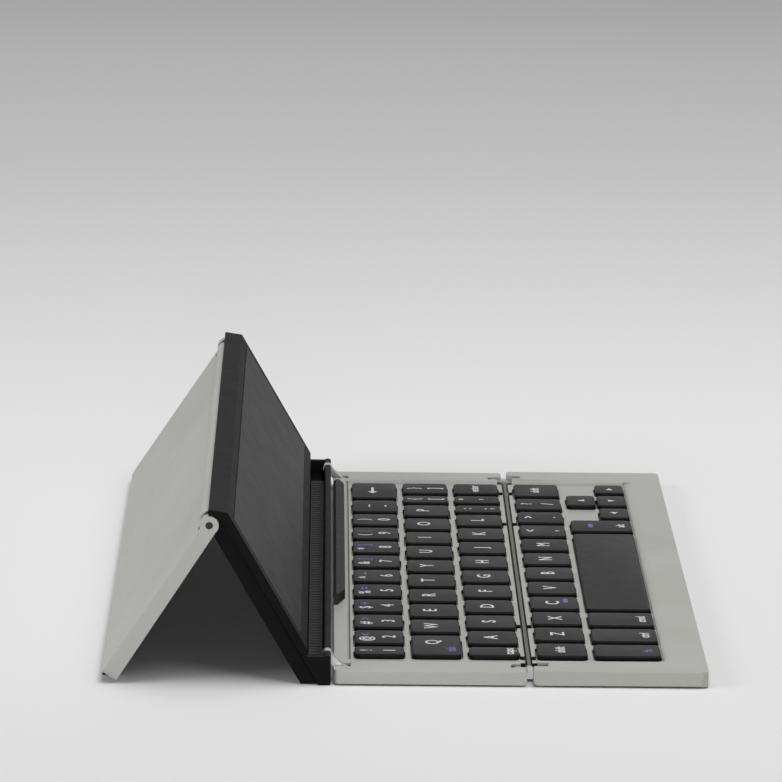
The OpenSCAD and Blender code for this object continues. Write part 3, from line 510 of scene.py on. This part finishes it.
def addOutline(shape, outline, turn, x, y, slot):
    c, s = math.cos(math.radians(turn)), math.sin(math.radians(turn))
    spots = [((px * c - py * s + x) * mm, (px * s + py * c + y) * mm) for px, py in outline]
    low = [shape.verts.new((px, py, (printLevel - legend["halfThick"]) * mm)) for px, py in spots]
    high = [shape.verts.new((px, py, (printLevel + legend["halfThick"]) * mm)) for px, py in spots]
    faces = [shape.faces.new(high), shape.faces.new(low[::-1])]
    n = len(spots)
    faces += [shape.faces.new((low[i], low[(i + 1) % n], high[(i + 1) % n], high[i])) for i in range(n)]
    for face in faces:
        face.material_index = slot


def makeCap(node):
    # the cap itself, with a softened rim
    def isRim(edge):
        return min(v.co.z for v in edge.verts) > (keyField["top"] - keyEdge["band"]) * mm

    cap, bevel = markedCopy(node, node + "_cap", isRim)
    bevel.width = keyEdge["radius"] * mm
    applyModifiers(cap)
    cap.data.shade_smooth()
    cap.data.set_sharp_from_angle(angle=math.radians(keyEdge["shadeTurn"]))
    paint(cap, "keys")
    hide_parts(node)
    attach(cap, node)


def addWord(shape, word, ink, size, x, y, room):
    part = textMesh(word, legend[size])
    across = [v.co.x for v in part.vertices]
    squeeze = min(1, (room - legend["margin"]) / max(0.1, max(across) - min(across)))
    part.transform(Matrix.Translation((x * mm, y * mm, printLevel * mm))
                   @ Matrix.Diagonal((mm * squeeze, mm, mm, 1)))
    for polygon in part.polygons:
        polygon.material_index = inks.index(ink)
    shape.from_mesh(part)
    bpy.data.meshes.remove(part)


def makeLegend(node):
    # what is printed on the cap
    shape = bmesh.new()
    for name, row, index, words in marks:
        if name != node:
            continue
        x, y, room = keyMiddle(row, index)
        for word, ink, size, sideways, rearwards in words:
            addWord(shape, word, ink, size, x + sideways, y + rearwards, room)
    for name, row, index, ink, rearwards, sideways, outline, turn in drawn:
        if name == node:
            x, y, room = keyMiddle(row, index)
            addOutline(shape, outline, turn, x + sideways, y + rearwards, inks.index(ink))
    if shape.verts:
        mesh = bpy.data.meshes.new(node + "_legend")
        shape.to_mesh(mesh)
        printed = bpy.data.objects.new(node + "_legend", mesh)
        scene.collection.objects.link(printed)
        for ink in inks:
            mesh.materials.append(finishes[ink])
        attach(printed, node)
    shape.free()


for node in keyNodes:
    makeCap(node)
    makeLegend(node)
print("keys finished:", len(keyNodes))

# mm and degrees; ridges moulded across the slot pad, lift is from its top to a ridge's middle
ridges = {"pitch": 3.0, "width": 1.2, "rise": 0.25, "radius": 0.08, "margin": 0.8, "lift": 0.04,
          "shadeTurn": 35}


def rowTree(name, finish):
    # a row of copies of one shape: count, first place and step are inputs
    tree = bpy.data.node_groups.new(name, "GeometryNodeTree")
    face = tree.interface
    sockets = {
        "Count": face.new_socket("Count", in_out="INPUT", socket_type="NodeSocketInt"),
        "First": face.new_socket("First", in_out="INPUT", socket_type="NodeSocketVector"),
        "Step": face.new_socket("Step", in_out="INPUT", socket_type="NodeSocketVector"),
        "Shape": face.new_socket("Shape", in_out="INPUT", socket_type="NodeSocketObject"),
    }
    face.new_socket("Geometry", in_out="OUTPUT", socket_type="NodeSocketGeometry")
    given = addNode(tree, "NodeGroupInput")
    line = addNode(tree, "GeometryNodeMeshLine", {
        "Count": given.outputs["Count"], "Start Location": given.outputs["First"],
        "Offset": given.outputs["Step"]})
    shape = addNode(tree, "GeometryNodeObjectInfo", {"Object": given.outputs["Shape"]})
    copies = addNode(tree, "GeometryNodeInstanceOnPoints", {
        "Points": line.outputs["Mesh"], "Instance": shape.outputs["Geometry"]})
    real = addNode(tree, "GeometryNodeRealizeInstances", {"Geometry": copies.outputs["Instances"]})
    painted = addNode(tree, "GeometryNodeSetMaterial", {
        "Geometry": real.outputs["Geometry"], "Material": finishes[finish]})
    addNode(tree, "NodeGroupOutput", {"Geometry": painted.outputs["Geometry"]})
    return tree, {k: s.identifier for k, s in sockets.items()}


def repeatPiece(name, tree, sockets, values, body):
    mesh = bpy.data.meshes.new(name)
    obj = bpy.data.objects.new(name, mesh)
    scene.collection.objects.link(obj)
    modifier = obj.modifiers.new("row", "NODES")
    modifier.node_group = tree
    for key, value in values.items():
        modifier[sockets[key]] = value
    applyModifiers(obj)
    obj.data.set_sharp_from_angle(angle=math.radians(ridges["shadeTurn"]))
    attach(obj, body)


def ridgeBar(length):
    shape = bmesh.new()
    bmesh.ops.create_cube(shape, size=1.0)
    mesh = bpy.data.meshes.new("ridgeBar")
    bmesh.ops.scale(shape, verts=shape.verts, vec=(ridges["width"] * mm, length * mm, ridges["rise"] * mm))
    bmesh.ops.bevel(shape, geom=shape.edges[:], offset=ridges["radius"] * mm, segments=2, affect="EDGES")
    shape.to_mesh(mesh)
    shape.free()
    return bpy.data.objects.new("ridgeBar", mesh)


padLow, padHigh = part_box("slot_pad")
padWidth = (padHigh[1] - padLow[1]) / mm
barObject = ridgeBar(padWidth - ridges["margin"])
rubberTree, rubberSockets = rowTree("rubberRidges", "rubber")
padCount = int((padHigh[0] - padLow[0]) / mm / ridges["pitch"]) - 1
padStart = (padLow[0] + padHigh[0]) / 2 - (padCount - 1) * ridges["pitch"] * mm / 2
repeatPiece("slotPadRidges", rubberTree, rubberSockets, {
    "Count": padCount,
    "First": (padStart, (padLow[1] + padHigh[1]) / 2, padHigh[2] + ridges["lift"] * mm),
    "Step": (ridges["pitch"] * mm, 0, 0), "Shape": barObject}, "rest")
print("ridges on the slot pad:", padCount)

frameFinish = {
    "rear_cover": "coverPlastic", "front_cover": "coverPlastic",
    "rear_key_plate": "plate", "front_key_plate": "plate",
    "rear_membrane": "film", "front_membrane": "film",
    "rear_scissors": "whitePlastic", "front_scissors": "whitePlastic",
    "rear_domes": "domeSilicone", "front_domes": "domeSilicone",
    "rear_feet": "rubber", "front_feet": "rubber",
    "rear_screws": "steel", "front_screws": "steel",
    "status_lenses": "lens", "stop_bar": "barPlastic",
    "spine_bar": "spinePlastic", "spine_links": "steel", "spine_pins": "blackSteel",
    "battery": "foil", "main_board": "board", "charge_port": "steel",
    "rest_links": "steel", "rest_link_pins": "blackSteel",
    "rest_panel": "panelPlastic", "rest_magnets": "magnet", "slot_pad": "rubber",
    "leg_liner": "restPlastic", "leg_ears": "steel", "leg_pins": "blackSteel", "leg_foot": "rubber",
}
for node, finish in frameFinish.items():
    paint(nodes[node], finish)
print("frame pieces painted:", len(frameFinish))

studio = {
    "floorHalf": 4.0,  # m
    "floorSpan": (-0.4, 1.3),  # m along x, where the floor's painted light, darker near and paler far, starts and ends
    "floorPaintedLight": [(0.0, "#D8D8D8"), (0.36, "#F3F3F3"), (0.66, "#F3F3F3"), (0.85, "#FFFFFF")],
    "skyLight": 0.1,
    "skySeen": "#E4E4E4",
    "lamps": {  # power W, size m, place m
        "softbox": (12.2, 1.1, (-0.15, -0.25, 1.15)),
        "backFill": (10.4, 0.9, (-0.5, 1.5, 0.7)),
        "lowFill": (5.2, 0.25, (-1.4, 0.05, 0.14)),
    },
}


def makeFloor():
    shape = bmesh.new()
    bmesh.ops.create_grid(shape, x_segments=8, y_segments=8, size=studio["floorHalf"])
    mesh = bpy.data.meshes.new("floor")
    shape.to_mesh(mesh)
    shape.free()
    floor = bpy.data.objects.new("floor", mesh)
    scene.collection.objects.link(floor)
    material, tree, coords, body = newMaterial("paleTabletop", {"Roughness": 0.7, "Metallic": 0.0})
    along = addNode(tree, "ShaderNodeSeparateXYZ", {"Vector": coords.outputs["Object"]}).outputs["X"]
    start, end = studio["floorSpan"]
    scaled = addNode(tree, "ShaderNodeMapRange", {"Value": along, "From Min": start, "From Max": end})
    # the floor is painted darker near the camera and paler far away: a painted light falloff
    drive(tree, body, "Base Color", scaled.outputs["Result"], studio["floorPaintedLight"])
    mesh.materials.append(material)


def makeLight():
    world = scene.world or bpy.data.worlds.new("studio")
    scene.world = world
    world.use_nodes = True
    tree = world.node_tree
    tree.nodes.clear()
    # the sky lights softly, and looks pale to the camera and in reflections
    rays = addNode(tree, "ShaderNodeLightPath")
    seen = rays.outputs["Is Camera Ray"]
    for kind in ("Is Glossy Ray", "Is Transmission Ray"):
        seen = addNode(tree, "ShaderNodeMath", {
            0: seen, 1: rays.outputs[kind]}, operation="MAXIMUM").outputs[0]
    dim = addNode(tree, "ShaderNodeBackground", {"Color": (1, 1, 1, 1), "Strength": studio["skyLight"]})
    pale = addNode(tree, "ShaderNodeBackground", {"Color": linear(studio["skySeen"]), "Strength": 1.0})
    both = addNode(tree, "ShaderNodeMixShader", {0: seen, 1: dim.outputs[0], 2: pale.outputs[0]})
    addNode(tree, "ShaderNodeOutputWorld", {"Surface": both.outputs[0]})
    for name, (power, size, place) in studio["lamps"].items():
        data = bpy.data.lights.new(name, "AREA")
        data.energy = power
        data.size = size
        lamp = bpy.data.objects.new(name, data)
        lamp.location = place
        lamp.rotation_euler = (-Vector(place)).to_track_quat("-Z", "Y").to_euler()
        scene.collection.objects.link(lamp)


makeFloor()
makeLight()
print("floor and light set")
